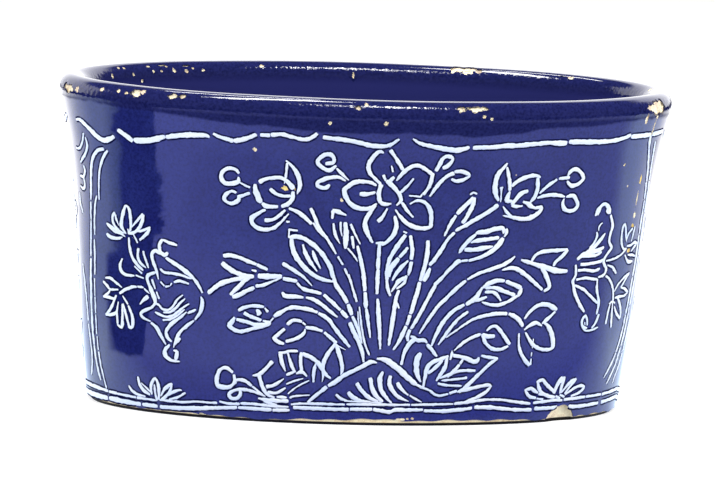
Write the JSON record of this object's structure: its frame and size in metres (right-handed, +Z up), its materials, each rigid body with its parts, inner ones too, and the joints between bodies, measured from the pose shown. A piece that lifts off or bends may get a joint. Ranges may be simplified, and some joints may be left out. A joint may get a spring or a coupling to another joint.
{
  "type": "oval flower pot",
  "caption": "Oval flaring flower pot of blue-glazed earthenware with a rolled lip, a flat pierced base and white raised flower painting round the outside.",
  "frame": {"origin": "centre of the oval on the ground plane that the foot rests on", "axes": "+X along the long way of the oval, +Y along the short way, +Z up out of the mouth"},
  "size_m": [0.26, 0.144, 0.137],
  "materials": {
    "clay": "bare buff earthenware, matt and finely grained",
    "blue_glaze": "glossy cobalt blue tin glaze",
    "white_enamel": "raised bluish white enamel strokes"
  },
  "bodies": {
    "root": {"base_slab": "clay", "wall_ring": "clay", "rim_roll": "clay", "corner_coil": "clay", "outer_glaze": "blue_glaze", "inner_glaze": "blue_glaze"}
  },
  "joints": []
}
